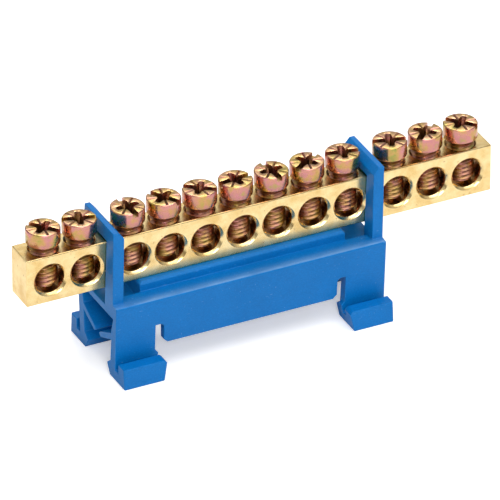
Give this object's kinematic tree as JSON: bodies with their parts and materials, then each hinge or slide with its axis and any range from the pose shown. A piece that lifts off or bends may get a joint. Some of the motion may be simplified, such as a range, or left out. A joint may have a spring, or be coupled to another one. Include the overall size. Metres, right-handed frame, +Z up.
{
  "type": "neutral terminal bar",
  "caption": "Brass neutral bar with a row of cross bores and clamp screws, carried by a blue insulating moulding that snaps on a 35 mm rail.",
  "frame": {"origin": "middle of the bounding box at the bottom of the feet", "axes": "+X along the bar towards its longer overhang, +Y away from the pictured front, wires enter along Y, +Z up along the screws"},
  "size_m": [0.0878, 0.0216, 0.0292],
  "materials": {
    "blue_plastic": "glossy moulded, blue",
    "brass": "drawn, polished, pale",
    "zinc_steel": "yellow iridescent zinc passivation"
  },
  "bodies": {
    "base": {"insulating_carrier": "blue_plastic", "brass_bar": "brass"},
    "clamp_01": {"screw_01": "zinc_steel"},
    "clamp_02": {"screw_02": "zinc_steel"},
    "clamp_03": {"screw_03": "zinc_steel"},
    "clamp_04": {"screw_04": "zinc_steel"},
    "clamp_05": {"screw_05": "zinc_steel"},
    "clamp_06": {"screw_06": "zinc_steel"},
    "clamp_07": {"screw_07": "zinc_steel"},
    "clamp_08": {"screw_08": "zinc_steel"},
    "clamp_09": {"screw_09": "zinc_steel"},
    "clamp_10": {"screw_10": "zinc_steel"},
    "clamp_11": {"screw_11": "zinc_steel"},
    "clamp_12": {"screw_12": "zinc_steel"}
  },
  "joints": [
    {"name": "clamp_01_travel", "type": "slide", "parent": "base", "child": "clamp_01", "axis": [0, 0, 1], "range_m": [-0.0007, 0.0045]},
    {"name": "clamp_02_travel", "type": "slide", "parent": "base", "child": "clamp_02", "axis": [0, 0, 1], "range_m": [-0.0007, 0.0045]},
    {"name": "clamp_03_travel", "type": "slide", "parent": "base", "child": "clamp_03", "axis": [0, 0, 1], "range_m": [-0.0007, 0.0045]},
    {"name": "clamp_04_travel", "type": "slide", "parent": "base", "child": "clamp_04", "axis": [0, 0, 1], "range_m": [-0.0007, 0.0045]},
    {"name": "clamp_05_travel", "type": "slide", "parent": "base", "child": "clamp_05", "axis": [0, 0, 1], "range_m": [-0.0007, 0.0045]},
    {"name": "clamp_06_travel", "type": "slide", "parent": "base", "child": "clamp_06", "axis": [0, 0, 1], "range_m": [-0.0007, 0.0045]},
    {"name": "clamp_07_travel", "type": "slide", "parent": "base", "child": "clamp_07", "axis": [0, 0, 1], "range_m": [-0.0007, 0.0045]},
    {"name": "clamp_08_travel", "type": "slide", "parent": "base", "child": "clamp_08", "axis": [0, 0, 1], "range_m": [-0.0007, 0.0045]},
    {"name": "clamp_09_travel", "type": "slide", "parent": "base", "child": "clamp_09", "axis": [0, 0, 1], "range_m": [-0.0007, 0.0045]},
    {"name": "clamp_10_travel", "type": "slide", "parent": "base", "child": "clamp_10", "axis": [0, 0, 1], "range_m": [-0.0007, 0.0045]},
    {"name": "clamp_11_travel", "type": "slide", "parent": "base", "child": "clamp_11", "axis": [0, 0, 1], "range_m": [-0.0007, 0.0045]},
    {"name": "clamp_12_travel", "type": "slide", "parent": "base", "child": "clamp_12", "axis": [0, 0, 1], "range_m": [-0.0007, 0.0045]}
  ]
}
